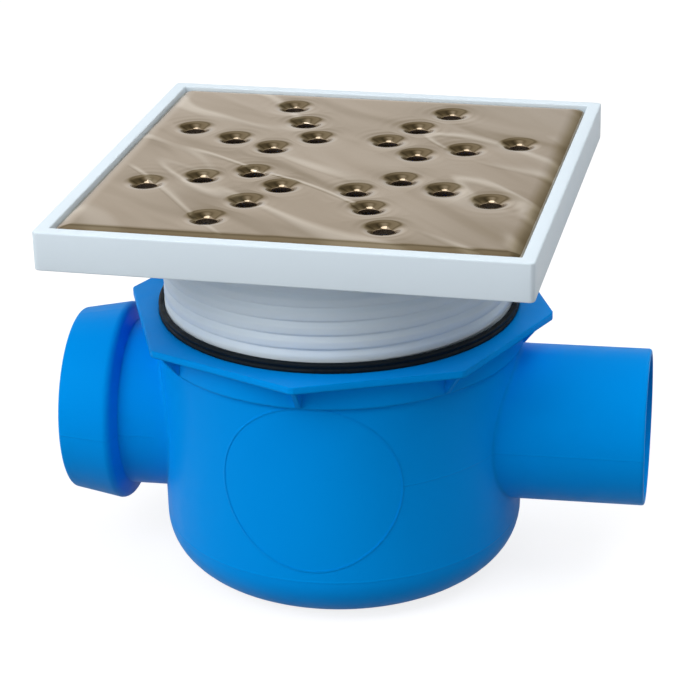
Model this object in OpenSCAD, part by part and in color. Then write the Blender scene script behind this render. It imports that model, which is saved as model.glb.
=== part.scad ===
// Floor gully trap for 50 mm pipes: a moulded cup with an inlet socket and an outlet spigot,
// a pull-out elbow that dips into the water, and a square frame that screws up and down in
// the neck and carries a pressed grate.
// Origin: the centre of the cup's flat underside. +Z is up, +X runs along the outlet and
// -Y is the front. All sizes are in millimetres.

/* [Cup] */
// Outer diameter of the cup
body_d = 116; // [108:1:124]
// Thickness of the cup's wall
body_wall = 2.2; // [1.8:0.1:3]
// Thickness of the cup's floor
floor_t = 2.8; // [2:0.1:4]
// Outer rounding between the floor and the wall
base_round = 16; // [8:1:20]
// Height of the pipes' axis above the underside
axis_h = 47.5; // [46:0.5:52]

/* [Neck and flange] */
// Height of the flange's top face above the underside
flange_h = 86.5; // [84:0.5:100]
// Thickness of the eight-sided flange
flange_t = 2.2; // [1.6:0.1:3.5]
// Distance from the axis to a corner of the flange
flange_reach = 68.5; // [66:0.5:78]
// Turn of the flange's corners from the pipes' axis
flange_turn = -2; // [-22.5:0.5:22.5]
// How much of each flange corner is rounded away
flange_corner_cut = 0.3; // [0.2:0.1:1.5]
// How far the neck stands out from the cup
neck_step = 1.2; // [0.6:0.1:2.5]
// Height of the neck, from its lower edge to the flange's top face
neck_h = 11; // [9:0.5:13]
// Thickness of the ribs under the flange's corners
rib_t = 1.6; // [1:0.1:3]

/* [Pipes] */
// Outer diameter of the pipes that the gully joins
pipe_d = 50; // [48:0.5:52]
// Wall of the outlet spigot
spigot_wall = 1.8; // [1.4:0.1:3]
// Distance from the cup's axis to the end of the outlet
outlet_reach = 99; // [88:1:130]
// How far the outlet swells out at its root, over its plain radius
outlet_swell = 0.5; // [0.2:0.1:1.2]
// Gap all round between a pipe and the inlet socket's bore
socket_gap = 0.3; // [0.15:0.05:0.5]
// Wall of the inlet socket's straight part
socket_wall = 1.9; // [1.5:0.1:3]
// Distance from the cup's axis to the mouth of the inlet
inlet_reach = 87; // [84:1:110]
// Length of the seal bell, from the mouth to its shoulder
bell_len = 15.5; // [14:0.5:18]
// Outer radius of the bell at its mouth
bell_mouth_r = 29.8; // [29.4:0.1:32]
// Outer radius of the bell at its shoulder
bell_shoulder_r = 32.4; // [32:0.1:34]
// Rounding of the bell's shoulder
shoulder_round = 2.4; // [1.6:0.2:3]
// Length of the slope behind the bell's shoulder
bell_back = 3.6; // [3.4:0.2:6]
// Wall of the bell round the seal
bell_wall = 2; // [1.6:0.1:2.4]
// Width of the groove for the rubber seal in the bell
inlet_groove_w = 9; // [7:0.5:10]
// Thickness of the bell's lip in front of the seal
bell_lip = 2.6; // [2:0.2:3.4]
// Diameter of the thin ridge round the closed front port
port_mark_d = 55.5; // [50:0.5:60]
// How far that ridge stands out from the cup
port_mark_rise = 0.15; // [0.1:0.05:0.4]

/* [Trap elbow] */
// Gap all round between the elbow and the outlet's bore
elbow_gap = 0.35; // [0.2:0.05:0.5]
// Wall of the elbow
elbow_wall = 2.4; // [2.2:0.1:3]
// Radius of the elbow's bend, at its middle
elbow_bend_r = 26; // [25:0.5:28]
// Straight part of the elbow between its bend and the cup's wall
elbow_lead = 4.4; // [3:0.2:6]
// How far the elbow reaches into the outlet
elbow_grip = 20; // [16:1:24]
// Gap under the elbow's mouth, above the cup's floor
elbow_floor_gap = 7; // [5:0.5:10]
// Cord of the elbow's sealing ring
elbow_seal_cord = 1.8; // [1.4:0.1:2]
// Distance from the elbow's end to the middle of its sealing ring
elbow_seal_inset = 6; // [4:0.5:8]
// Height of the pull tab above the elbow
tab_h = 10; // [7:0.5:14]
// Length of the pull tab, along the outlet
tab_len = 18; // [12:1:20]
// Thickness of the pull tab
tab_t = 3; // [2:0.5:4]

/* [Frame and collar] */
// Side of the square frame
frame_w = 147; // [144:1:200]
// Height of the square frame
frame_h = 12; // [10:0.5:18]
// Height of the frame's top above the cup's underside
frame_top = 132.5; // [126:0.5:134]
// Width of the rim that shows round the grate
rim_w = 4.2; // [3:0.1:8]
// Depth of the recess that the grate lies in
recess_depth = 6.5; // [5:0.1:8]
// Thickness of the frame's floor
frame_floor_t = 2.4; // [1.8:0.1:3]
// Rounding of the frame's upright corners
frame_corner_r = 1.6; // [0.8:0.1:4]
// Number of ribs under the frame, round the collar
frame_ribs = 12; // [4:2:24]
// Thickness of the ribs under the frame
frame_rib_t = 1.6; // [1:0.1:3]
// Turn of the frame in the neck, as it is set
frame_turn = -3; // [-45:1:45]
// Height of the collar's lower end above the cup's underside
collar_foot = 78.5; // [77.5:0.5:80]
// Wall of the collar behind the thread
collar_wall = 2; // [1.6:0.1:2.4]
// Chamfer that leads the collar's lower end into the neck
collar_lead = 1; // [0.4:0.1:1.4]

/* [Thread] */
// Rise of the thread in one turn
pitch = 4.5; // [4:0.25:5]
// Depth of the thread's groove
thread_depth = 0.95; // [0.7:0.05:1.1]
// Gap all round between the collar's thread and the neck
thread_gap = 0.4; // [0.3:0.05:0.5]

/* [Seals] */
// Cord of each of the two lips of the sealing ring round the collar
neck_seal_cord = 1.8; // [1.4:0.1:2]
// Height of that ring's upper lip above its lower lip
neck_seal_rise = 1.8; // [1.4:0.1:2.4]
// Gap between that ring and the collar that slides in it
seal_gap = 0.15; // [0.05:0.05:0.3]
// Gap between a seal that stays put and its groove
groove_gap = 0.05; // [0.02:0.01:0.1]

/* [Grate] */
// Thickness of the pressed sheet
sheet_t = 0.9; // [0.6:0.1:1]
// Gap all round between the grate and the rim
grate_gap = 0.4; // [0.3:0.1:1.5]
// How far the grate's face lies below the rim's top
grate_drop = 0.1; // [0.1:0.1:1]
// Radius of the grate's corners
grate_corner_r = 7.5; // [7:0.5:10]
// Width of the slope along the grate's edge
edge_w = 4.5; // [3:0.1:5]
// How far that slope falls
edge_drop = 0.8; // [0.4:0.1:1.2]
// Outer radius of the bend between the slope and the grate's skirt
edge_bend_r = 1.2; // [1.1:0.1:2]
// Diameter of each drain hole
hole_d = 6; // [5:0.1:8]
// Width of the pressed slope round each hole
dimple_w = 3.2; // [2:0.1:4]
// Depth of that slope
dimple_drop = 1.6; // [1.2:0.1:1.8]
// Distance from the middle to the inner ring of holes
inner_ring_r = 26; // [24:0.5:28]
// Distance from the middle to the middle ring of holes
middle_ring_r = 42; // [40:0.5:44]
// Distance from the middle to the outer ring of holes
outer_ring_r = 59.5; // [57:0.5:60]
// Angle between each hole and the nearest axis of the grate
hole_angle = 26.5; // [24:0.5:30]

/* [Hidden] */
$fn = 96;

// Overlap that makes two solids one, and that carries a cut past a face
lap = 0.5;
// Steps of the thread in one turn
thread_steps = 48;
// Steps of a drawn quarter arc
arc_steps = 8;

// Cup and neck
body_r = body_d / 2;
cup_r = body_r - body_wall;
neck_r = body_r + neck_step;
neck_foot = flange_h - neck_h;
flange_under = flange_h - flange_t;
// Chamfer at 45 degrees of the neck's mouth, on which the sealing ring lies
mouth_chamfer = 1.6;
mouth_r = cup_r + mouth_chamfer;
// From a flange corner to the end of its rib, and from the neck's lower edge to the rib's foot
rib_inset = 2.2;
rib_rise = 0.6;
// Width of the ridge round the closed port
port_mark_w = 0.4;

// Frame
frame_bottom = frame_top - frame_h;
recess_floor = frame_top - recess_depth;
recess_w = frame_w - 2 * rim_w;
frame_floor_under = recess_floor - frame_floor_t;
// Rounding of the corners inside the recess and inside the hollow under it
recess_corner_r = 0.6;
hollow_corner_r = 1.5;

// Thread. Heights in its section count from the middle of the collar's groove, which
// is flat at its root, rises steeply above and slopes gently below.
crest_r = cup_r - thread_gap;
root_r = crest_r - thread_depth;
collar_bore_r = root_r - collar_wall;
groove_flat = 0.09 * pitch;
steep_flank = 0.07 * pitch;
crest_flat = 0.44 * pitch;
// How far the collar's flanks run on into its wall, as a share of the thread's depth
flank_run_on = 0.14;
// How far the ends of a thread sink into the wall that carries it
end_sink = 1.25 * thread_depth;
// Gap between the tip of the neck's ridge and the root of the collar's groove
ridge_gap = 0.9 * thread_gap;
// Angle at which the thread passes the heights that are whole pitches
thread_angle = 38;
neck_thread_low = neck_foot + 1.3;
neck_thread_high = flange_h - mouth_chamfer - 0.9;
collar_thread_low = collar_foot + collar_lead;
collar_thread_high = frame_bottom - pitch - lap;

// Pipes. Their roots start well inside the cup, which is hollowed out afterwards.
pipe_r = pipe_d / 2;
pipe_root_x = body_r / 2;
outlet_bore_r = pipe_r - spigot_wall;
swell_end_x = body_r + 2;
swell_len = 10;
socket_r = pipe_r + socket_gap;
socket_out_r = socket_r + socket_wall;
// The inlet's pipe stops against what is left of the cup's wall
socket_stop_x = body_r - 1.5;
socket_lead = 1.2;
shoulder_x = inlet_reach - bell_len;
inlet_groove_out = inlet_reach - bell_lip;
inlet_groove_in = inlet_groove_out - inlet_groove_w;
// Inlet seal: gap between its lip and the pipe, thickness of the lip, length of the bead at
// its outer end, and how far the bead stays back from the socket's bore
lip_gap = 0.1;
lip_t = 1.4;
bead_len = 1.6;
bead_inset = 0.3;

// Elbow
elbow_r = outlet_bore_r - elbow_gap;
elbow_bore_r = elbow_r - elbow_wall;
elbow_end_x = cup_r + elbow_grip;
elbow_axis_x = cup_r - elbow_lead - elbow_bend_r;
elbow_foot = floor_t + elbow_floor_gap;
elbow_seal_x = elbow_end_x - elbow_seal_inset;
elbow_seal_r = outlet_bore_r - groove_gap - elbow_seal_cord / 2;

// Neck seal: middle of its lower lip, which lies on the chamfer of the neck's mouth, and
// the web between its lips
neck_seal_r = crest_r + seal_gap + neck_seal_cord / 2;
neck_seal_h = flange_h - mouth_r + neck_seal_r + (neck_seal_cord / 2 + groove_gap) / sin(45);
neck_seal_web = 1;

// Grate
grate_w = recess_w - 2 * grate_gap;
grate_top = frame_top - grate_drop;
dimple_out_r = hole_d / 2 + dimple_w;
// Radius and turn of the arc that gives the pressed slope its width and depth
dimple_arc_r = (pow(dimple_w, 2) + pow(dimple_drop, 2)) / (2 * dimple_drop);
dimple_turn = 2 * atan(dimple_drop / dimple_w);
// The same for the slope along the edge, and where it starts, counted from the corner's centre
edge_arc_r = (pow(edge_w, 2) + pow(edge_drop, 2)) / (2 * edge_drop);
edge_turn = 2 * atan(edge_drop / edge_w);
edge_start = grate_corner_r - edge_bend_r * (1 - sin(edge_turn)) - edge_w;

// Outer radius of the inlet's bell at a distance x from the cup's axis
function bell_r(x) = bell_mouth_r + (bell_shoulder_r - bell_mouth_r) * (inlet_reach - x) / bell_len;

// Points of an arc about [x, y], from angle a to angle b. An arc that runs on from
// another leaves out its first point.
function arc(x, y, r, a, b, steps = arc_steps, first = 0) =
    [for (i = [first:steps]) [x + r * cos(a + (b - a) * i / steps),
                              y + r * sin(a + (b - a) * i / steps)]];

// Turns a profile about the X axis: its second coordinate runs out along -X or +X
module turned_along_x(side) {
    translate([0, 0, axis_h])
        rotate([0, side * 90, 0])
            rotate_extrude()
                children();
}

// A drum that stands on z = 0, with a rounded foot
module round_footed_drum(r, h, foot_r) {
    rotate_extrude() {
        translate([0, foot_r]) square([r, h - foot_r]);
        square([r - foot_r, foot_r + lap]);
        translate([r - foot_r, foot_r]) circle(r = foot_r);
    }
}

// A square block with upright rounded corners, centred, from z = 0 up
module rounded_block(w, r, h) {
    translate([-w / 2 + r, -w / 2, 0]) cube([w - 2 * r, w, h]);
    translate([-w / 2, -w / 2 + r, 0]) cube([w, w - 2 * r, h]);
    for (x = [-1, 1], y = [-1, 1])
        translate([x * (w / 2 - r), y * (w / 2 - r), 0])
            cylinder(r = r, h = h);
}

// A right-handed helical ridge between two heights. The section is a list of
// [radius, height] points, and the ridge sinks into its wall at both ends.
// Every ridge keeps one phase, so the neck's ridge lies in the collar's groove.
module helical_ridge(section, low, high, sink) {
    turns = (high - low) / pitch;
    rings = ceil(turns * thread_steps);
    n = len(section);
    fade = thread_steps / 12;
    function ring_height(i) = low + pitch * turns * i / rings;
    function ring_sink(i) = sink * max(0, 1 - min(i, rings - i) / fade);
    points = [for (i = [0:rings], p = section)
        let (a = thread_angle + 360 * ring_height(i) / pitch, r = p[0] + ring_sink(i))
        [r * cos(a), r * sin(a), ring_height(i) + p[1]]];
    sides = [for (i = [0:rings - 1], j = [0:n - 1])
        let (k = (j + 1) % n)
        [i * n + j, i * n + k, (i + 1) * n + k, (i + 1) * n + j]];
    first = [for (j = [n - 1:-1:0]) j];
    last = [for (j = [0:n - 1]) rings * n + j];
    polyhedron(points, concat([first], sides, [last]), convexity = 10);
}

// ---- Cup, neck, flange and pipes: one moulding ----

module cup_outside() {
    round_footed_drum(body_r, flange_under + lap, base_round);
    translate([0, 0, neck_foot])
        cylinder(r = neck_r, h = neck_h - flange_t + lap);
}

module cup_inside() {
    translate([0, 0, floor_t])
        round_footed_drum(cup_r, flange_h - floor_t + lap, base_round - body_wall);
    translate([0, 0, flange_h - mouth_chamfer])
        cylinder(r1 = cup_r, r2 = mouth_r + lap, h = mouth_chamfer + lap);
}

module flange() {
    translate([0, 0, flange_under])
        intersection() {
            rotate([0, 0, flange_turn]) cylinder(r = flange_reach, h = flange_t, $fn = 8);
            cylinder(r = flange_reach - flange_corner_cut, h = flange_t);
        }
    for (a = [0:45:315])
        rotate([90, 0, flange_turn + a])
            translate([0, 0, -rib_t / 2])
                linear_extrude(rib_t)
                    polygon([[neck_r - lap, neck_foot + rib_rise], [neck_r + lap, neck_foot + rib_rise],
                             [flange_reach - rib_inset, flange_under],
                             [flange_reach - rib_inset, flange_under + lap],
                             [neck_r - lap, flange_under + lap]]);
}

// Outside of the outlet spigot, with a swell at its root and a rounded end
module outlet_outside() {
    end_round = spigot_wall / 2;
    turned_along_x(1) {
        polygon(concat(
            [[0, pipe_root_x], [pipe_r, pipe_root_x]],
            arc(pipe_r - end_round, outlet_reach - end_round, end_round, 0, 90, arc_steps / 2),
            [[0, outlet_reach]]));
        polygon([[0, pipe_root_x], [pipe_r + outlet_swell, pipe_root_x],
                 [pipe_r + outlet_swell, swell_end_x - swell_len], [pipe_r, swell_end_x],
                 [0, swell_end_x]]);
    }
}

// Outside of the inlet socket: a straight tube, then a coned bell with a rounded shoulder
module inlet_outside() {
    edge_round = bell_wall / 2;
    turned_along_x(-1)
        polygon(concat(
            [[0, pipe_root_x], [socket_out_r, pipe_root_x], [socket_out_r, shoulder_x - bell_back]],
            arc(bell_shoulder_r - shoulder_round, shoulder_x, shoulder_round, -65, 10),
            arc(bell_mouth_r - edge_round, inlet_reach - edge_round, edge_round, 10, 90, arc_steps / 2),
            [[0, inlet_reach]]));
}

// Room inside the inlet socket: pipe stop, bore, seal groove and lead-in
module inlet_inside() {
    turned_along_x(-1)
        polygon([
            [0, pipe_root_x - lap], [outlet_bore_r, pipe_root_x - lap], [outlet_bore_r, socket_stop_x],
            [socket_r, socket_stop_x], [socket_r, inlet_groove_in],
            [bell_r(inlet_groove_in) - bell_wall, inlet_groove_in],
            [bell_r(inlet_groove_out) - bell_wall, inlet_groove_out],
            [socket_r, inlet_groove_out], [socket_r, inlet_reach - socket_lead],
            [socket_r + socket_lead + lap, inlet_reach + lap], [0, inlet_reach + lap]]);
}

// Thin ridge that the closed front port leaves round itself on the cup's wall
module port_mark() {
    intersection() {
        translate([0, 0, axis_h])
            rotate([90, 0, 0])
                difference() {
                    cylinder(d = port_mark_d + port_mark_w, h = body_r + lap);
                    translate([0, 0, -lap]) cylinder(d = port_mark_d - port_mark_w, h = body_r + 3 * lap);
                }
        difference() {
            cylinder(r = body_r + port_mark_rise, h = neck_foot + lap);
            translate([0, 0, -lap]) cylinder(r = body_r - lap, h = neck_foot + 3 * lap);
        }
    }
}

// The neck's thread: a narrow ridge that runs in the collar's groove
module neck_thread() {
    section = [[cup_r + lap, -crest_flat], [cup_r + lap, groove_flat / 2 + steep_flank],
               [root_r + ridge_gap, 0]];
    helical_ridge(section, neck_thread_low, neck_thread_high, end_sink);
}

module gully_body() {
    color("deepskyblue") {
        difference() {
            union() {
                cup_outside();
                flange();
                outlet_outside();
                inlet_outside();
                port_mark();
            }
            cup_inside();
            inlet_inside();
            translate([0, 0, axis_h])
                rotate([0, 90, 0])
                    cylinder(r = outlet_bore_r, h = outlet_reach + lap);
        }
        neck_thread();
    }
}

// Rubber ring in the bell, with a lip that leans on the pipe
module inlet_seal() {
    seal_out = inlet_groove_out - groove_gap;
    seal_in = inlet_groove_in + groove_gap;
    back = bell_wall + groove_gap;
    lip_r = pipe_r + lip_gap;
    bead_r = socket_r + bead_inset;
    color("#1c1c1e")
    turned_along_x(-1)
        polygon([
            [bell_r(seal_out) - back, seal_out], [bell_r(seal_in) - back, seal_in],
            [bead_r + bead_inset, seal_in], [lip_r, seal_in + bead_inset], [lip_r, seal_in + lip_t],
            [bead_r + lip_t / 2, seal_out - 2 * bead_len], [bead_r, seal_out - bead_len],
            [bead_r, seal_out]]);
}

// ---- Trap elbow, which pulls out through the neck ----

// A quarter bend with both its straight legs, solid, of one radius
module bend(r, extra) {
    bend_x = elbow_axis_x + elbow_bend_r;
    bend_h = axis_h - elbow_bend_r;
    translate([bend_x, 0, bend_h])
        rotate([90, -90, 0])
            rotate_extrude(angle = 90)
                translate([elbow_bend_r, 0]) circle(r = r);
    translate([bend_x, 0, axis_h])
        rotate([0, 90, 0])
            cylinder(r = r, h = elbow_end_x + extra - bend_x);
    translate([elbow_axis_x, 0, elbow_foot - extra])
        cylinder(r = r, h = bend_h - elbow_foot + extra);
}

// Upright tab on the bend, with a bar along its top to grip
module pull_tab() {
    tab_x = elbow_axis_x + tab_len / 4;
    tab_top = axis_h + elbow_r + tab_h;
    // Its lower edge starts in the middle of the bend's wall
    wall_r = elbow_bend_r + (elbow_r + elbow_bore_r) / 2;
    tab_base = axis_h - elbow_bend_r + sqrt(pow(wall_r, 2) - pow(elbow_bend_r - tab_len / 4, 2));
    translate([tab_x, -tab_t / 2, tab_base])
        cube([tab_len, tab_t, tab_top - tab_base]);
    translate([tab_x, -1.5 * tab_t, tab_top - tab_t])
        cube([tab_len, 3 * tab_t, tab_t]);
}

module trap_elbow() {
    color("royalblue")
    difference() {
        union() {
            bend(elbow_r, 0);
            pull_tab();
        }
        bend(elbow_bore_r, lap);
        // Groove of the sealing ring
        translate([elbow_seal_x, 0, axis_h])
            rotate([0, 90, 0])
                difference() {
                    cylinder(r = elbow_r + lap, h = elbow_seal_cord + 2 * groove_gap, center = true);
                    cylinder(r = elbow_seal_r - elbow_seal_cord / 2 - groove_gap,
                             h = 2 * elbow_seal_cord, center = true);
                }
    }
}

module elbow_seal() {
    color("#1c1c1e")
    translate([elbow_seal_x, 0, axis_h])
        rotate([0, 90, 0])
            rotate_extrude()
                translate([elbow_seal_r, 0])
                    circle(d = elbow_seal_cord, $fn = 24);
}

// Rubber ring round the collar, with two lips, one above the other
module neck_seal() {
    color("#1c1c1e")
    translate([0, 0, neck_seal_h])
        rotate_extrude()
            translate([neck_seal_r, 0]) {
                circle(d = neck_seal_cord, $fn = 32);
                translate([0, neck_seal_rise]) circle(d = neck_seal_cord, $fn = 32);
                translate([-neck_seal_web / 2, 0]) square([neck_seal_web, neck_seal_rise]);
            }
}

// ---- Frame and threaded collar: one moulding ----

// The collar's thread: a broad ridge whose flanks run on a little way into the wall
module collar_thread() {
    gentle_flank = pitch - groove_flat - steep_flank - crest_flat;
    crest_low = groove_flat / 2 + steep_flank;
    crest_high = crest_low + crest_flat;
    foot_r = root_r - flank_run_on * thread_depth;
    section = [[foot_r, crest_low - (1 + flank_run_on) * steep_flank], [crest_r, crest_low],
               [crest_r, crest_high], [foot_r, crest_high + (1 + flank_run_on) * gentle_flank]];
    helical_ridge(section, collar_thread_low, collar_thread_high, -end_sink);
}

// The square frame: a recess above for the grate, and a ribbed hollow below
module frame_square() {
    hollow_h = frame_floor_under - frame_bottom;
    difference() {
        translate([0, 0, frame_bottom])
            rounded_block(frame_w, frame_corner_r, frame_h);
        translate([0, 0, recess_floor])
            rounded_block(recess_w, recess_corner_r, recess_depth + lap);
        difference() {
            translate([0, 0, frame_bottom - lap])
                rounded_block(recess_w, hollow_corner_r, hollow_h + lap);
            for (i = [0:frame_ribs / 2 - 1])
                rotate([0, 0, i * 360 / frame_ribs])
                    translate([-frame_w, -frame_rib_t / 2, frame_bottom])
                        cube([2 * frame_w, frame_rib_t, hollow_h + lap]);
        }
    }
}

module frame() {
    color("whitesmoke")
    difference() {
        union() {
            rotate([0, 0, frame_turn]) frame_square();
            translate([0, 0, collar_foot + collar_lead])
                cylinder(r = root_r, h = frame_floor_under + lap - collar_foot - collar_lead);
            translate([0, 0, collar_foot])
                cylinder(r1 = root_r - collar_lead, r2 = root_r, h = collar_lead);
            collar_thread();
        }
        translate([0, 0, collar_foot - lap])
            cylinder(r = collar_bore_r, h = frame_top - collar_foot);
    }
}

// ---- Pressed stainless grate ----

// Section of the rolled edge, from the field out and down to the skirt's foot
module edge_section() {
    foot = recess_floor - grate_top;
    bend_x = grate_corner_r - edge_bend_r;
    bend_z = -edge_drop - edge_bend_r * cos(edge_turn);
    polygon(concat(
        [[edge_start - lap, -sheet_t], [edge_start - lap, 0]],
        arc(edge_start, -edge_arc_r, edge_arc_r, 90, 90 - edge_turn),
        arc(bend_x, bend_z, edge_bend_r, 90 - edge_turn, 0, first = 1),
        [[grate_corner_r, foot], [grate_corner_r - sheet_t, foot]],
        arc(bend_x, bend_z, edge_bend_r - sheet_t, 0, 90 - edge_turn),
        arc(edge_start, -edge_arc_r, edge_arc_r - sheet_t, 90 - edge_turn, 90, first = 1)));
}

// The pressed slope round one hole: an arc of the sheet, from the field down to the hole
module dimple() {
    rotate_extrude($fn = 48)
        polygon(concat(
            [[dimple_out_r + lap, -sheet_t], [dimple_out_r + lap, 0]],
            arc(dimple_out_r, -dimple_arc_r, dimple_arc_r, 90, 90 + dimple_turn),
            arc(dimple_out_r, -dimple_arc_r, dimple_arc_r - sheet_t, 90 + dimple_turn, 90)));
}

module at_each_hole() {
    for (r = [inner_ring_r, middle_ring_r, outer_ring_r], quarter = [0:90:270], side = [-1, 1])
        rotate([0, 0, quarter + side * hole_angle])
            translate([r, 0, 0])
                children();
}

module grate() {
    half = grate_w / 2 - grate_corner_r;
    color("#b3a58f")
    rotate([0, 0, frame_turn])
        translate([0, 0, grate_top]) {
            difference() {
                translate([0, 0, -sheet_t])
                    rounded_block(2 * (half + edge_start), edge_start, sheet_t);
                at_each_hole()
                    translate([0, 0, -2 * sheet_t])
                        cylinder(r = dimple_out_r, h = 4 * sheet_t, $fn = 48);
            }
            at_each_hole() dimple();
            for (quarter = [0:90:270])
                rotate([0, 0, quarter]) {
                    translate([half, half, 0])
                        rotate_extrude(angle = 90) edge_section();
                    translate([half, half, 0])
                        rotate([90, 0, 0])
                            linear_extrude(2 * half) edge_section();
                }
        }
}

gully_body();
inlet_seal();
trap_elbow();
elbow_seal();
neck_seal();
frame();
grate();
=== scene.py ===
"""Looks, floor, light and camera of the floor gully trap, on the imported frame.

The frame moulding and the grate are drawn again here with their small roundings. The other
five pieces keep their CAD shape and get a material. The shapes are worked out in
millimetres; the objects and the shaders are in metres.
"""
import math

import bmesh
import bpy
import numpy as np
from mathutils import Matrix, Vector
from mathutils.geometry import delaunay_2d_cdt


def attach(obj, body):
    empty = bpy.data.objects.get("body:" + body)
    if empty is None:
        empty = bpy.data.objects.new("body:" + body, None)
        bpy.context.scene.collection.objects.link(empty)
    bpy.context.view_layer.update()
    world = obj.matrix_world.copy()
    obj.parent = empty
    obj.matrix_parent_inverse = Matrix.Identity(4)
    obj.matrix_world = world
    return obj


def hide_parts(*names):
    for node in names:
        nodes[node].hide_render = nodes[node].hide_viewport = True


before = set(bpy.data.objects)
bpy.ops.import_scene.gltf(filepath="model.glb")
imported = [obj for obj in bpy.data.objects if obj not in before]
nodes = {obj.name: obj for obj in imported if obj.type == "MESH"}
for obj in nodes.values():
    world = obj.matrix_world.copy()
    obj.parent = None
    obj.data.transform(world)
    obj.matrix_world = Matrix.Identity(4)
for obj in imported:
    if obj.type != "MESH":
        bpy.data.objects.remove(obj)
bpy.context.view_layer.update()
scene = bpy.context.scene

MM = 0.001
TURN = math.radians(-3)          # turn of the frame and the grate in the neck


# ---------------------------------------------------------------- mesh helpers

def make_object(name, verts, faces, sharp_deg):
    """A piece from points in millimetres, shaded smooth up to an angle."""
    same = 1e-6
    mesh = bpy.data.meshes.new(name)
    mesh.from_pydata([tuple(float(c) * MM for c in v) for v in verts], [], faces)
    bm = bmesh.new()
    bm.from_mesh(mesh)
    bmesh.ops.remove_doubles(bm, verts=bm.verts, dist=same)
    bmesh.ops.dissolve_degenerate(bm, edges=bm.edges, dist=same)
    bmesh.ops.recalc_face_normals(bm, faces=bm.faces)
    bm.to_mesh(mesh)
    bm.free()
    mesh.polygons.foreach_set("use_smooth", [True] * len(mesh.polygons))
    mesh.set_sharp_from_angle(angle=math.radians(sharp_deg))
    mesh.update()
    obj = bpy.data.objects.new(name, mesh)
    scene.collection.objects.link(obj)
    return obj


class Build:
    """Collects points and faces of one piece."""

    def __init__(self):
        self.verts, self.faces = [], []

    def loop(self, points):
        start = len(self.verts)
        self.verts.extend(points)
        return list(range(start, start + len(points)))

    def bridge(self, a, b):
        n = len(a)
        for i in range(n):
            j = (i + 1) % n
            self.faces.append((a[i], a[j], b[j], b[i]))

    def skin(self, loops):
        ids = [self.loop(points) for points in loops]
        for a, b in zip(ids, ids[1:]):
            self.bridge(a, b)
        return ids


def fillet(points, radii, steps=5):
    """A polyline whose inner corners are rounded, with this many steps in a right angle."""
    reach = 0.49                  # share of a side that a rounding may take
    out = [points[0]]
    for before, corner, after, r in zip(points, points[1:], points[2:], radii[1:]):
        q = Vector(corner)
        u, v = Vector(before) - q, Vector(after) - q
        turn = math.pi - u.angle(v)
        cut = min(r * math.tan(turn / 2), reach * u.length, reach * v.length)
        r = cut / math.tan(turn / 2)
        u.normalize()
        v.normalize()
        centre = q + (u + v).normalized() * (r / math.cos(turn / 2))
        start, end = q + u * cut - centre, q + v * cut - centre
        whole = start.angle(end)
        n = max(2, int(steps * turn / (math.pi / 2) + 0.5))
        for t in (k / n for k in range(n + 1)):
            spoke = start * math.sin((1 - t) * whole) + end * math.sin(t * whole)
            out.append(tuple(centre + spoke / math.sin(whole)))
    out.append(points[-1])
    return out


def turned(points, angle):
    """Points turned about the upright axis."""
    c, s = math.cos(angle), math.sin(angle)
    return [(x * c - y * s, x * s + y * c, z) for x, y, z in points]


# ---------------------------------------------------------------- frame and collar

FRAME_W, FRAME_H, FRAME_TOP = 147.0, 12.0, 132.5
RIM_W, RECESS_DEPTH, FLOOR_T, CORNER_R = 4.2, 6.5, 2.4, 1.6
COLLAR_FOOT, CREST_R, ROOT_R, BORE_R = 78.5, 55.4, 54.45, 52.45
PITCH, THREAD_ANGLE = 4.5, 38.0
GROOVE_FLAT, STEEP_SIDE, CREST_FLAT = 0.09 * PITCH, 0.07 * PITCH, 0.44 * PITCH
COLLAR_LEAD, COLLAR_NECK = 1.0, 1.2      # chamfer at the collar's foot, plain part at its top
THREAD_START, THREAD_END = 1.4, 3.4      # from the collar's foot, and below the frame
THREAD_FADE = 1.6                # height over which the thread runs out at either end
RIM_CORNER, RECESS_CORNER, FLOOR_CORNER = 0.6, 0.45, 0.4    # least upright roundings
ROUND_BORDER, SQUARE_BORDER = 4, 3       # flat borders between round and square loops
RIBS, RIB_T, RIB_ROUND, RIB_RAISED = 12, 1.6, 0.3, 0.05
IN_COLLAR, IN_RIM, IN_FLOOR = 0.8, 0.6, 0.4      # how far a rib runs into what it joins

QUARTER = 60                     # columns in a quarter of a loop
COLUMNS = 4 * QUARTER
CORNER_STEPS = 5                 # columns on half a corner of a square loop


def ring_angle(i):
    return TURN + math.radians(-45 + 360 * i / COLUMNS)


def round_loop(r, z):
    return [(r * math.cos(ring_angle(i)), r * math.sin(ring_angle(i)), z)
            for i in range(COLUMNS)]


def square_loop(half, corner, z, turn=TURN):
    """A rounded square whose columns pair with those of round_loop."""
    flat = half - corner
    arc = [math.radians(45 * k / (CORNER_STEPS - 1)) for k in range(CORNER_STEPS)]
    side = QUARTER - 2 * CORNER_STEPS + 2
    quarter = [(flat + corner * math.cos(a - math.pi / 4),
                -flat + corner * math.sin(a - math.pi / 4), z) for a in arc]
    quarter += [(half, -flat + 2 * flat * k / side, z) for k in range(1, side)]
    quarter += [(flat + corner * math.cos(a), flat + corner * math.sin(a), z) for a in arc[:-1]]
    return [p for q in range(4) for p in turned(quarter, turn + q * math.pi / 2)]


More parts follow.
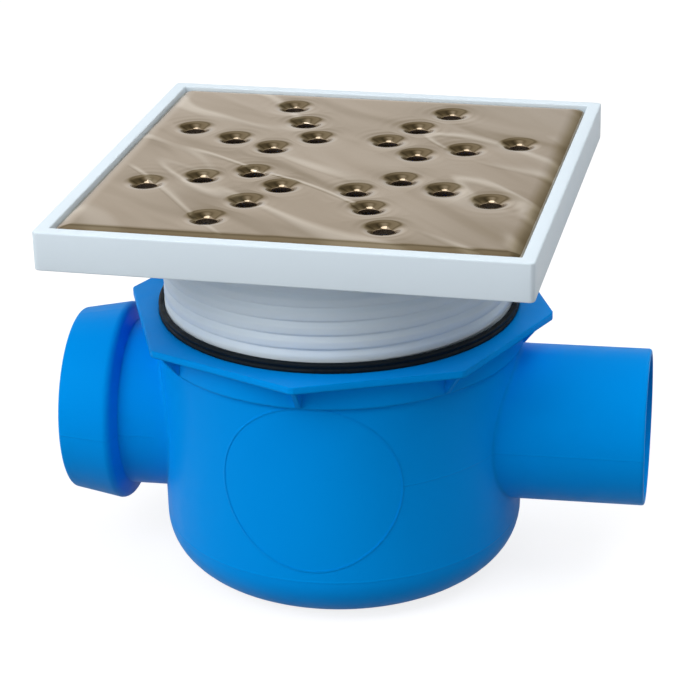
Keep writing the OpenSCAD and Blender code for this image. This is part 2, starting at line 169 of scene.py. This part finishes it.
def add_thread(b, low, high, thread_low, thread_high):
    """The collar's threaded outside, in rows that follow the helix."""
    gentle = PITCH - GROOVE_FLAT - STEEP_SIDE - CREST_FLAT
    c0 = GROOVE_FLAT / 2 + STEEP_SIDE
    c1 = c0 + CREST_FLAT
    # Height within one pitch, and share of the thread's depth
    profile = [(-GROOVE_FLAT / 2 + 0.05, 0.0), (0.0, 0.0), (GROOVE_FLAT / 2 - 0.05, 0.0),
               (GROOVE_FLAT / 2 + 0.06, 0.1), (c0 - 0.08, 0.86), (c0 + 0.06, 0.97),
               (c0 + 0.25, 1.0), ((c0 + c1) / 2, 1.0), (c1 - 0.35, 1.0), (c1, 0.975),
               (c1 + 0.35, 0.86), (c1 + gentle * 0.5, 0.5), (c1 + gentle - 0.3, 0.16),
               (c1 + gentle - 0.08, 0.04)]
    first = math.floor((low - PITCH) / PITCH) - 1
    last = math.ceil((high + PITCH) / PITCH) + 1

    def point(k, along, rise, a):
        z = PITCH * (k + (math.degrees(a) - THREAD_ANGLE) / 360) + along
        fade = min(1.0, max(0.0, (z - thread_low) / THREAD_FADE))
        fade *= min(1.0, max(0.0, (thread_high - z) / THREAD_FADE))
        r = ROOT_R + (CREST_R - ROOT_R) * rise * fade * fade * (3 - 2 * fade)
        return (r * math.cos(a), r * math.sin(a), min(max(z, low), high))

    rows = [b.loop([point(k, along, rise, ring_angle(i)) for i in range(COLUMNS + 1)])
            for k in range(first, last) for along, rise in profile]
    for lower, upper in zip(rows, rows[1:]):
        for i in range(COLUMNS):
            b.faces.append((lower[i], lower[i + 1], upper[i + 1], upper[i]))


def build_frame():
    b = Build()
    top, bottom = FRAME_TOP, FRAME_TOP - FRAME_H
    recess = top - RECESS_DEPTH
    under = recess - FLOOR_T
    half = FRAME_W / 2
    inner = half - RIM_W
    low, high = COLLAR_FOOT + COLLAR_LEAD, under - COLLAR_NECK
    add_thread(b, low, high, COLLAR_FOOT + THREAD_START, bottom - THREAD_END)

    # The rest of the moulding, from the collar's top round the rim and back up from its foot
    neck = fillet([(ROOT_R, high), (ROOT_R, under), (ROOT_R + ROUND_BORDER, under)],
                  [0, 1.0, 0])
    rim = fillet([(inner - SQUARE_BORDER, under), (inner, under), (inner, bottom),
                  (half, bottom), (half, top), (inner, top), (inner, recess),
                  (inner - SQUARE_BORDER, recess)], [0, 0.8, 0.3, 0.4, 0.55, 0.35, 0.5, 0])
    inside = fillet([(BORE_R + ROUND_BORDER, recess), (BORE_R, recess), (BORE_R, COLLAR_FOOT),
                     (ROOT_R - COLLAR_LEAD, COLLAR_FOOT), (ROOT_R, low)],
                    [0, 0.8, 0.3, 0.2, 0])
    loops = [round_loop(r, z) for r, z in neck]
    for x, z in rim:
        # The outer corners are rounded and those of the recess are nearly sharp
        if x > inner + 0.6:
            corner = max(RIM_CORNER, CORNER_R - (half - x))
        else:
            corner = RECESS_CORNER if x > inner - 0.2 else FLOOR_CORNER
        loops.append(square_loop(x, corner, z))
    loops += [round_loop(r, z) for r, z in inside]
    b.skin(loops)

    # Ribs under the frame's floor
    t, z0, z1 = RIB_T / 2, bottom + RIB_RAISED, under + IN_FLOOR
    section = [(-t, z1), (-t, z0 + RIB_ROUND), (-t + RIB_ROUND, z0),
               (t - RIB_ROUND, z0), (t, z0 + RIB_ROUND), (t, z1)]
    for i in range(RIBS):
        a = i * 2 * math.pi / RIBS
        reach = inner / max(abs(math.cos(a)), abs(math.sin(a))) + IN_RIM
        near, far = b.skin([turned([(x, y, z) for y, z in section], TURN + a)
                            for x in (ROOT_R - IN_COLLAR, reach)])
        b.faces.append(tuple(near[::-1]))
        b.faces.append(tuple(far))
    return make_object("frame_moulding", b.verts, b.faces, sharp_deg=32)


# ---------------------------------------------------------------- pressed grate

SHEET, GAP, DROP = 0.9, 0.4, 0.1
GRATE_CORNER, LEAST_CORNER = 4.0, 0.3    # at the skirt, and further in
EDGE_W, EDGE_DROP, BEND_R = 4.5, 0.8, 1.2
FOOT_ROUND = 0.2                 # rounding of the skirt's cut edge
HOLE_R, DIMPLE_W, DIMPLE_DROP = 3.0, 3.2, 1.6
RINGS, HOLE_ANGLE = (26.0, 42.0, 59.5), math.radians(26.5)
NECK_BEND, NECK_LEN, NECK_T, NECK_ROUND = 0.4, 1.5, 0.45, 0.1
MOUTH = HOLE_R + DIMPLE_W        # where the slope round a hole starts
REST = 0.3                       # flat border that keeps the field's shading flat
AROUND = 56                      # columns round a hole


def hole_centres():
    angles = [math.radians(90 * q) + side * HOLE_ANGLE for q in range(4) for side in (-1, 1)]
    return [(r * math.cos(a), r * math.sin(a)) for r in RINGS for a in angles]


def edge_section(half, top, foot):
    """The sloped edge, its bend and the skirt, from the field's top to its underside."""
    slope_r = (EDGE_W ** 2 + EDGE_DROP ** 2) / (2 * EDGE_DROP)
    slope_t = 2 * math.atan(EDGE_DROP / EDGE_W)
    start = half - BEND_R * (1 - math.sin(slope_t)) - EDGE_W
    bend_z = top - EDGE_DROP - BEND_R * math.cos(slope_t)

    def slope(r, angles):
        return [(start + r * math.sin(t), top - slope_r + r * math.cos(t)) for t in angles]

    def bend(r, angles):
        return [(half - BEND_R + r * math.sin(t), bend_z + r * math.cos(t)) for t in angles]

    return ([(start - REST, top)] + slope(slope_r, np.linspace(0, slope_t, 9))
            + bend(BEND_R, np.linspace(slope_t, math.pi / 2, 9))[1:]
            + [(half, foot + FOOT_ROUND), (half - FOOT_ROUND, foot),
               (half - SHEET + FOOT_ROUND, foot), (half - SHEET, foot + FOOT_ROUND)]
            + bend(BEND_R - SHEET, np.linspace(math.pi / 2, slope_t, 6))
            + slope(slope_r - SHEET, np.linspace(slope_t, 0, 7))[1:]
            + [(start - REST, top - SHEET)])


def hole_section(top):
    """The slope round a hole, its short drawn neck and the slope's underside."""
    slope_r = (DIMPLE_W ** 2 + DIMPLE_DROP ** 2) / (2 * DIMPLE_DROP)
    slope_t = 2 * math.atan(DIMPLE_DROP / DIMPLE_W)

    def slope(r, angles):
        return [(MOUTH - r * math.sin(t), top - slope_r + r * math.cos(t)) for t in angles]

    section = [(MOUTH + REST, top)] + slope(slope_r, np.linspace(0, slope_t, 11)[:-1])
    # The slope stops a little short of its full turn and bends on into the neck
    r1, z1 = section[-1]
    t1 = slope_t * 0.9
    section += [(r1 - NECK_BEND * (math.sin(t) - math.sin(t1)),
                 z1 - NECK_BEND * (math.cos(t1) - math.cos(t)))
                for t in np.linspace(t1, math.pi / 2, 6)[1:]]
    neck_r, neck_top = section[-1]
    foot = neck_top - NECK_LEN
    section += [(neck_r, foot + NECK_ROUND), (neck_r + NECK_ROUND, foot),
                (neck_r + NECK_T - NECK_ROUND, foot), (neck_r + NECK_T, foot + NECK_ROUND)]
    return (section + slope(slope_r - SHEET, np.linspace(slope_t * 0.92, 0, 8))
            + [(MOUTH + REST, top - SHEET)])


def fill_field(b, outline, mouths, centres):
    """The flat field between the rolled edge and the mouths of the holes."""
    index = outline + [v for mouth in mouths for v in mouth]
    edges, start = [], 0
    for loop in [outline] + mouths:
        n = len(loop)
        edges += [(start + i, start + (i + 1) % n) for i in range(n)]
        start += n
    points, _, triangles, origins, _, _ = delaunay_2d_cdt(
        [Vector(b.verts[v][:2]) for v in index], edges, [], 0, 1e-6)
    # What is kept lies outside every hole, and its area isn't nothing
    mouth_r, least = (MOUTH + REST) * 0.997, 1e-4
    for tri in triangles:
        p, q, r = (points[v] for v in tri)
        middle = (p + q + r) / 3
        if (abs((q - p).cross(r - p)) >= least
                and all((middle - Vector(c)).length >= mouth_r for c in centres)):
            b.faces.append(tuple(index[origins[v][0]] for v in tri))


def build_grate():
    b = Build()
    top = FRAME_TOP - DROP
    half = FRAME_W / 2 - RIM_W - GAP
    edge = b.skin([square_loop(x, max(LEAST_CORNER, GRATE_CORNER - (half - x)), z, turn=0)
                   for x, z in edge_section(half, top, FRAME_TOP - RECESS_DEPTH)])
    centres = hole_centres()
    angles = [2 * math.pi * k / AROUND for k in range(AROUND)]
    holes = [b.skin([[(cx + r * math.cos(a), cy + r * math.sin(a), z) for a in angles]
                     for r, z in hole_section(top)]) for cx, cy in centres]
    for side in (0, -1):
        fill_field(b, edge[side], [hole[side] for hole in holes], centres)
    return make_object("grate_sheet", turned(b.verts, TURN), b.faces, sharp_deg=50)


# ---------------------------------------------------------------- shader helpers

def srgb(r, g, b):
    """The linear colour of an sRGB colour given from 0 to 255."""
    def linear(c):
        c /= 255.0
        return c / 12.92 if c <= 0.04045 else ((c + 0.055) / 1.055) ** 2.4
    return linear(r), linear(g), linear(b)


class Nodes:
    """Adds nodes to the tree of a material or a world."""

    def __init__(self, owner):
        self.owner = owner
        owner.use_nodes = True
        self.tree = owner.node_tree
        self.tree.nodes.clear()

    def put(self, value, socket):
        """Links an output to the socket, or sets a constant on it."""
        if isinstance(value, bpy.types.NodeSocket):
            self.tree.links.new(value, socket)
        else:
            socket.default_value = value

    def node(self, kind, **inputs):
        """A node with its inputs, in whose names _ stands for a space."""
        n = self.tree.nodes.new("ShaderNode" + kind)
        for name, value in inputs.items():
            self.put(value, n.inputs[name.replace("_", " ")])
        return n

    def math(self, operation, first, *others):
        """One operation on a value or two, or on more of them in turn."""
        for other in others or (None,):
            n = self.node("Math")
            n.operation = operation
            self.put(first, n.inputs[0])
            if other is not None:
                self.put(other, n.inputs[1])
            first = n.outputs[0]
        return first

    def away(self, value, middle):
        """How far a value lies from another, either way."""
        return self.math("ABSOLUTE", self.math("SUBTRACT", value, middle))

    def ramp(self, factor, stops):
        """Colours, or greys that are given as one number, at places from 0 to 1."""
        n = self.node("ValToRGB", Fac=factor)
        elements = n.color_ramp.elements
        while len(elements) < len(stops):
            elements.new(0.5)
        for element, (place, colour) in zip(elements, stops):
            element.position = place
            element.color = (*(colour if isinstance(colour, tuple) else (colour,) * 3), 1)
        return n.outputs["Color"]

    def span(self, value, low, high, at_low, at_high):
        """A smooth step from one value to another."""
        n = self.node("MapRange", Value=value, From_Min=low, From_Max=high,
                      To_Min=at_low, To_Max=at_high)
        n.interpolation_type = "SMOOTHSTEP"
        return n.outputs["Result"]

    def xyz(self, vector):
        return self.node("SeparateXYZ", Vector=vector).outputs

    def light_path(self):
        """1 for what the camera sees straight, and 1 for what is seen in gloss or glass."""
        path = self.node("LightPath").outputs
        return path["Is Camera Ray"], self.math(
            "MAXIMUM", path["Is Glossy Ray"], path["Is Transmission Ray"])


class Mat(Nodes):
    """A Principled material with the object's own coordinates."""

    def __init__(self, name, **constants):
        super().__init__(bpy.data.materials.new(name))
        self.bsdf = self.node("BsdfPrincipled", **constants)
        self.node("OutputMaterial", Surface=self.bsdf.outputs[0])
        self.coord = self.node("TexCoord").outputs["Object"]

    def mapped(self, **inputs):
        """The coordinates, turned or stretched as a texture."""
        n = self.node("Mapping", Vector=self.coord, **inputs)
        n.vector_type = "TEXTURE"
        return n.outputs[0]

    def noise(self, scale, detail, rough=0.5, vector=None, bend=0.0):
        return self.node("TexNoise", Vector=vector or self.coord, Scale=scale, Detail=detail,
                         Roughness=rough, Distortion=bend).outputs["Fac"]

    def mottle(self, scale, detail, dark, light):
        return self.ramp(self.noise(scale, detail), [(0.3, dark), (0.7, light)])

    def roughness(self, scale, low, high):
        return self.span(self.noise(scale, 3), 0.3, 0.7, low, high)

    def soft_edge(self, radius):
        n = self.node("Bevel", Radius=radius)
        n.samples = 6
        return n.outputs["Normal"]

    def bump(self, height, strength, distance, normal=None):
        n = self.node("Bump", Height=height, Strength=strength, Distance=distance)
        if normal is not None:
            self.put(normal, n.inputs["Normal"])
        return n.outputs["Normal"]

    def ridge(self, off, width, shows, distance, normal):
        """A fine moulded line, from how far a point lies off its middle."""
        line = self.span(off, width[0] * MM, width[1] * MM, 1.0, 0.0)
        return self.bump(self.math("MULTIPLY", line, shows), 0.5, distance, normal)

    def done(self, colour, roughness, normal):
        for name, value in (("Base Color", colour), ("Roughness", roughness),
                            ("Normal", normal)):
            self.put(value, self.bsdf.inputs[name])
        return self.owner


# ---------------------------------------------------------------- materials

# Marks of the cup, in millimetres
AXIS_H = 47.5                    # height of the pipes' axis, where the mould parts
FOOT_H = 16.0                    # height at which the cup's foot starts to round
ROOT_X, ROOT_Z = (46.0, 62.5), (19.0, 74.5)     # where the pipes grow out of the cup
ROOT_ROUND = 1.6                 # what those fillets have over the other edges
SEAM_LEFT, SEAM_RIGHT = -56.0, 27.5             # the seam shows outside these
CUP_X = 60.0                     # the foot's line lies within this
SEAM_W, FOOT_W = (0.08, 0.35), (0.1, 0.5)       # from a line's middle to its crest and its end
# Marks of the steel round a hole, in millimetres
PULL, RIPPLE = 3.2, 3.6          # reach of the pull, and length of the ripple's wave
DISH_IN, DISH_OUT = 0.4, 1.2     # the dish starts and ends so far outside the slope's ends
STREAK = math.radians(-48)       # direction of the press streaks in the steel


def blue_plastic(name, dark, light, edge, cup=False):
    """Moulded polypropylene, on the cup with its fillets and the mould's marks."""
    m = Mat(name, Specular_IOR_Level=0.08, Specular_Tint=(0.0, 0.9, 1.0, 1.0))
    if cup:
        x, _, z = m.xyz(m.coord)
        out_x = m.math("ABSOLUTE", x)
        root = m.math("MULTIPLY", m.math("LESS_THAN", z, ROOT_Z[1] * MM),
                      m.math("LESS_THAN", out_x, ROOT_X[1] * MM),
                      m.math("GREATER_THAN", out_x, ROOT_X[0] * MM),
                      m.math("GREATER_THAN", z, ROOT_Z[0] * MM))
        edge = m.math("ADD", m.math("MULTIPLY", root, ROOT_ROUND * MM), edge)
    normal = m.soft_edge(edge)
    normal = m.bump(m.noise(900, 2), 0.05, 0.0002, normal)
    normal = m.bump(m.noise(26, 1), 0.05, 0.004, normal)
    if cup:
        shows = m.math("MAXIMUM", m.math("GREATER_THAN", x, SEAM_RIGHT * MM),
                       m.math("LESS_THAN", x, SEAM_LEFT * MM))
        normal = m.ridge(m.away(z, AXIS_H * MM), SEAM_W, shows, 0.00015, normal)
        # Where the mould's foot insert meets the wall
        shows = m.math("LESS_THAN", out_x, CUP_X * MM)
        normal = m.ridge(m.away(z, FOOT_H * MM), FOOT_W, shows, 0.00012, normal)
    return m.done(m.mottle(9, 3, dark, light), m.roughness(160, 0.36, 0.44), normal)


def white_plastic(name):
    m = Mat(name, Specular_IOR_Level=0.20)
    normal = m.soft_edge(0.0004)
    normal = m.bump(m.noise(700, 2), 0.04, 0.0002, normal)
    normal = m.bump(m.noise(30, 1), 0.04, 0.003, normal)
    return m.done(m.mottle(12, 3, srgb(220, 233, 242), srgb(224, 237, 246)),
                  m.roughness(140, 0.32, 0.42), normal)


def rubber(name):
    m = Mat(name, Specular_IOR_Level=0.15)
    return m.done(m.mottle(60, 4, srgb(13, 20, 25), srgb(19, 27, 33)),
                  m.roughness(300, 0.42, 0.6), m.bump(m.noise(1200, 2), 0.12, 0.0002))


def steel(name):
    """Polished sheet: long press streaks, a soft pull and a ripple round each hole."""
    m = Mat(name, Metallic=1.0)

    def streaks(scale, detail, rough, stretch, bend=0.0):
        vector = m.mapped(Scale=(stretch, 1, 1), Rotation=(0, 0, STREAK))
        return m.noise(scale, detail, rough, vector, bend)

    # Press lines: thin contours of a slow wave, in patches, bumped and also painted lighter as a
    # painted highlight along each line
    line = m.span(m.away(streaks(24, 1.5, 0.5, 4, 0.5), 0.5), 0.0, 0.026, 1.0, 0.0)
    line = m.math("MULTIPLY", line, m.span(streaks(26, 1, 0.5, 2), 0.44, 0.56, 0.0, 1.0))
    # The holes' necks and the underside are rougher, and painted darker as painted shade inside
    # the holes
    dull_and_shaded = m.math("LESS_THAN", m.xyz(m.coord)[2], (FRAME_TOP - DROP - DIMPLE_DROP + 0.02) * MM)
    # The tone is the streaky grain plus the press lines' painted highlight, less the painted
    # shade below the holes' depth
    tone = m.math("ADD", m.math("MULTIPLY", streaks(22, 3, 0.5, 4), 0.5),
                  m.math("MULTIPLY", line, 0.5), 0.15)
    # The first stop is the painted shade of the necks and the underside
    colour = m.ramp(m.math("SUBTRACT", tone, dull_and_shaded),
                    [(0.0, srgb(120, 104, 90)), (0.30, srgb(174, 156, 132)),
                     (0.50, srgb(181, 165, 143)), (0.85, srgb(208, 194, 175))])
    rough = m.math("MAXIMUM", m.span(streaks(300, 4, 0.6, 7), 0.3, 0.7, 0.07, 0.12),
                   m.math("MULTIPLY", dull_and_shaded, 0.6))

    # Distance from the middle of the nearest hole. The pattern repeats eight times round.
    x, y, _ = m.xyz(m.mapped(Rotation=(0, 0, TURN)))
    x, y = m.math("ABSOLUTE", x), m.math("ABSOLUTE", y)
    u, v = m.math("MAXIMUM", x, y), m.math("MINIMUM", x, y)
    rings = []
    for r in RINGS:
        du = m.math("SUBTRACT", u, r * MM * math.cos(HOLE_ANGLE))
        dv = m.math("SUBTRACT", v, r * MM * math.sin(HOLE_ANGLE))
        squares = m.math("ADD", m.math("MULTIPLY", du, du), m.math("MULTIPLY", dv, dv))
        rings.append(m.math("SQRT", squares))
    near = m.math("MINIMUM", *rings)
    past = m.math("MAXIMUM", m.math("SUBTRACT", near, MOUTH * MM), 0.0)
    pull = m.math("EXPONENT", m.math("MULTIPLY", past, -1 / (PULL * MM)))
    dish = m.span(near, (HOLE_R + DISH_IN) * MM, (MOUTH + DISH_OUT) * MM, 0.0, 1.0)
    wave = m.math("COSINE", m.math("MULTIPLY", past, math.tau / (RIPPLE * MM)))
    ripple = m.math("MULTIPLY", wave, pull, m.span(m.noise(34, 1), 0.35, 0.65, 0.1, 1.0))

    normal = None
    for height, distance in ((line, 0.00008), (streaks(40, 1.5, 0.45, 3.5, 0.9), 0.0008),
                             (streaks(15, 1, 0.4, 1.6), 0.0020), (dish, 0.00042),
                             (m.math("SUBTRACT", 1.0, pull), 0.00014), (ripple, 0.00003)):
        normal = m.bump(height, 1.0, distance, normal)
    return m.done(colour, rough, normal)


def dress(obj, mat):
    obj.data.materials.clear()
    obj.data.materials.append(mat)


def dress_node(name, mat):
    for slot in nodes[name].material_slots:
        slot.link = "OBJECT"
        slot.material = mat


blue = blue_plastic("blue_polypropylene", srgb(0, 148, 240), srgb(0, 154, 245), 0.0009, cup=True)
elbow_blue = blue_plastic("elbow_polypropylene", srgb(0, 98, 176), srgb(0, 104, 182), 0.0005)
white = white_plastic("white_abs")
black = rubber("black_rubber")
metal = steel("polished_stainless")

frame_piece = build_frame()
dress(frame_piece, white)
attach(frame_piece, "frame")
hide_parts("frame")

grate_piece = build_grate()
dress(grate_piece, metal)
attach(grate_piece, "frame")
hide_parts("grate")

dress_node("gully_body", blue)
dress_node("trap_elbow", elbow_blue)
for n in ("inlet_seal", "elbow_seal", "neck_seal"):
    dress_node(n, black)


# ---------------------------------------------------------------- floor

FLOOR_HALF, FLOOR_Z = 4.0, -0.0002     # just under the cup's flat underside


def pale_floor():
    m = Nodes(bpy.data.materials.new("pale_floor"))
    straight, mirrored = m.light_path()
    diffuse = m.node("BsdfDiffuse", Color=(0.30, 0.30, 0.30, 1))
    glow = m.node("Emission", Strength=m.math("MAXIMUM", m.math("MULTIPLY", straight, 0.82),
                                              m.math("MULTIPLY", mirrored, 0.35)))
    both = m.node("AddShader")
    m.put(diffuse.outputs[0], both.inputs[0])
    m.put(glow.outputs[0], both.inputs[1])
    m.node("OutputMaterial", Surface=both.outputs[0])
    return m.owner


floor_mesh = bpy.data.meshes.new("floor")
floor_mesh.from_pydata([(x * FLOOR_HALF, y * FLOOR_HALF, FLOOR_Z)
                        for x, y in ((-1, -1), (1, -1), (1, 1), (-1, 1))], [], [(0, 1, 2, 3)])
floor_mesh.materials.append(pale_floor())
floor = bpy.data.objects.new("floor", floor_mesh)
scene.collection.objects.link(floor)


# ---------------------------------------------------------------- light

# The studio as gloss shows it: pale low down, darker higher up and to the right. Tones from
# the horizon to straight up, from left to right and from the side to the front, then a tint.
BY_HEIGHT = [(0.0, 0.7), (0.22, 0.92), (0.33, 0.82), (0.39, 0.68), (0.46, 0.60), (0.53, 0.30),
             (0.58, 0.30), (0.66, 0.46), (0.85, 0.42), (0.93, 0.28), (1.0, 0.62)]
BY_SIDE = [(0.0, 1.0), (0.42, 1.0), (0.50, 0.78), (0.57, 0.42), (0.65, 0.30), (0.75, 0.34),
           (0.88, 0.75), (1.0, 0.8)]
BY_FRONT = [(0.0, 0.0), (0.12, 0.0), (0.24, 0.95)]
TINT = [(0.0, 0.0), (0.2, (0.21, 0.19, 0.13)), (0.45, (0.46, 0.44, 0.37)), (0.7, 0.7),
        (1.0, 1.0)]

# Softboxes round the part: the way to each, and its power in watts
SOFTBOXES = {"left_high": ((-0.60, -0.50, 0.62), 5.8), "left": ((-0.85, -0.45, 0.27), 2.5),
             "front_left": ((-0.38, -0.82, 0.42), 2.2), "front_high": ((0, -0.50, 0.87), 2.9),
             "right_high": ((0.45, -0.10, 0.89), 4.0), "right_back": ((0.50, 0.50, 0.70), 3.9),
             "right": ((0.85, -0.45, 0.30), 1.4), "back": ((-0.45, 0.70, 0.55), 2.2)}
SOFTBOX_SIZE, SOFTBOX_AWAY = 0.7, 1.2
MIDDLE = Vector((0, 0, 0.07))


def studio():
    w = Nodes(bpy.data.worlds.new("studio"))
    straight, mirrored = w.light_path()
    x, y, z = w.xyz(w.node("TexCoord").outputs["Generated"])
    side = w.math("ADD", w.math("MULTIPLY", x, 0.5), 0.5)
    tone = w.math("MAXIMUM", w.ramp(z, BY_HEIGHT),
                  w.ramp(w.math("MULTIPLY", y, -1.0), BY_FRONT))
    tone = w.math("MAXIMUM", w.math("MULTIPLY", tone, w.ramp(side, BY_SIDE)), straight)
    seen = w.node("Background", Color=w.ramp(tone, TINT), Strength=1.0)
    room = w.node("Background", Color=(0.95, 0.97, 1.0, 1), Strength=0.10)
    mix = w.node("MixShader", Fac=w.math("MAXIMUM", straight, mirrored))
    w.put(room.outputs[0], mix.inputs[1])
    w.put(seen.outputs[0], mix.inputs[2])
    w.node("OutputWorld", Surface=mix.outputs[0])
    return w.owner


def softbox(name, direction, power):
    light = bpy.data.lights.new(name, "AREA")
    light.size = SOFTBOX_SIZE
    light.energy = power
    away = Vector(direction).normalized()
    obj = bpy.data.objects.new(name, light)
    obj.location = MIDDLE + SOFTBOX_AWAY * away
    obj.rotation_euler = (-away).to_track_quat("-Z", "Y").to_euler()
    obj.visible_glossy = name == "front_high"   # the one that shows in the polished holes
    scene.collection.objects.link(obj)


scene.world = studio()
for name, (direction, power) in SOFTBOXES.items():
    softbox(name, direction, power)


# ---------------------------------------------------------------- camera

# The camera that was fitted to the photo, whose side is 700 pixels
PHOTO_PX, FOCAL_PX, DISTANCE = 700.0, 2321.0, 0.7456
AZIMUTH, ELEVATION, ROLL = (math.radians(a) for a in (10.353, 23.754, -1.346))
TARGET = Vector((0.00308, 0.0, 0.06913))

back = Vector((math.sin(AZIMUTH) * math.cos(ELEVATION), -math.cos(AZIMUTH) * math.cos(ELEVATION),
               math.sin(ELEVATION)))
right = (-back).cross(Vector((0, 0, 1))).normalized()
up = right.cross(-back).normalized()
rolled_right = right * math.cos(ROLL) + up * math.sin(ROLL)
rolled_up = -right * math.sin(ROLL) + up * math.cos(ROLL)
view = Matrix((rolled_right, rolled_up, back)).transposed().to_4x4()
view.translation = TARGET + back * DISTANCE

lens = bpy.data.cameras.new("camera")
lens.sensor_width = 36.0
lens.lens = FOCAL_PX / PHOTO_PX * lens.sensor_width
lens.clip_start, lens.clip_end = 0.05, 20
camera = bpy.data.objects.new("camera", lens)
camera.matrix_world = view
scene.collection.objects.link(camera)
scene.camera = camera

scene.view_settings.view_transform = "Standard"
